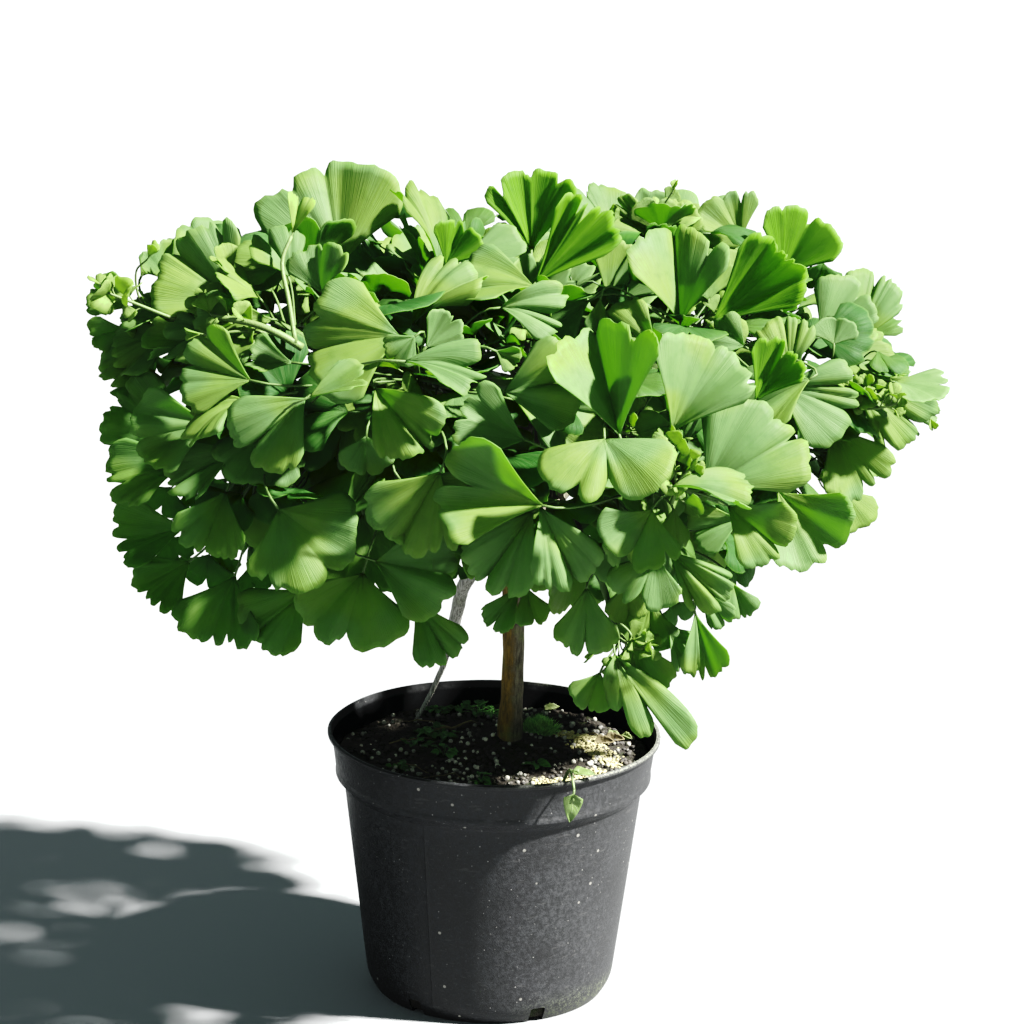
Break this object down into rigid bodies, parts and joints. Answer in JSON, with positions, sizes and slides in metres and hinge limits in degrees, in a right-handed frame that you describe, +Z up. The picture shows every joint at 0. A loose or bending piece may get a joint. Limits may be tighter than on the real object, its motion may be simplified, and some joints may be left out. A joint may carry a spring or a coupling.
{
  "type": "ginkgo bonsai",
  "caption": "Young dwarf ginkgo with a bare grafted trunk and a broad flat-topped crown of fan-shaped leaves, growing in a round black nursery container filled with peat soil.",
  "frame": {"origin": "centre of the container's flat underside, which stands on the ground", "axes": "+Z up along the container's axis, -Y toward the side of the crown seen as its front, +X to the right of that view"},
  "size_m": [0.55, 0.4636, 0.5581],
  "materials": {
    "pot_plastic": "dusty matte black plastic with pale speckles and a faint mould seam",
    "soil": "moist dark peat mix with pale mineral grains, about as dense as wood",
    "bark": "rough young brown and grey bark",
    "dead_wood": "weathered grey dead wood",
    "moss": "soft dark green moss cushion",
    "weed_leaf": "thin light green seedling leaf",
    "leaf": "thin satin green leaf with fine fanned veins, lighter where the sun comes through"
  },
  "bodies": {
    "root": {"dead_branch": "dead_wood", "moss_clump": "moss", "pot": "pot_plastic", "seedling": "weed_leaf", "shoot_01": "leaf", "shoot_02": "leaf", "shoot_03": "leaf", "shoot_04": "leaf", "shoot_05": "leaf", "shoot_06": "leaf", "shoot_07": "leaf", "shoot_08": "leaf", "shoot_09": "leaf", "shoot_10": "leaf", "shoot_11": "leaf", "shoot_12": "leaf", "shoot_13": "leaf", "shoot_14": "leaf", "shoot_15": "leaf", "shoot_16": "leaf", "shoot_17": "leaf", "shoot_18": "leaf", "shoot_19": "leaf", "shoot_20": "leaf", "shoot_21": "leaf", "shoot_22": "leaf", "shoot_23": "leaf", "shoot_24": "leaf", "shoot_25": "leaf", "shoot_26": "leaf", "shoot_27": "leaf", "shoot_28": "leaf", "soil": "soil", "trunk": "bark"}
  },
  "joints": []
}
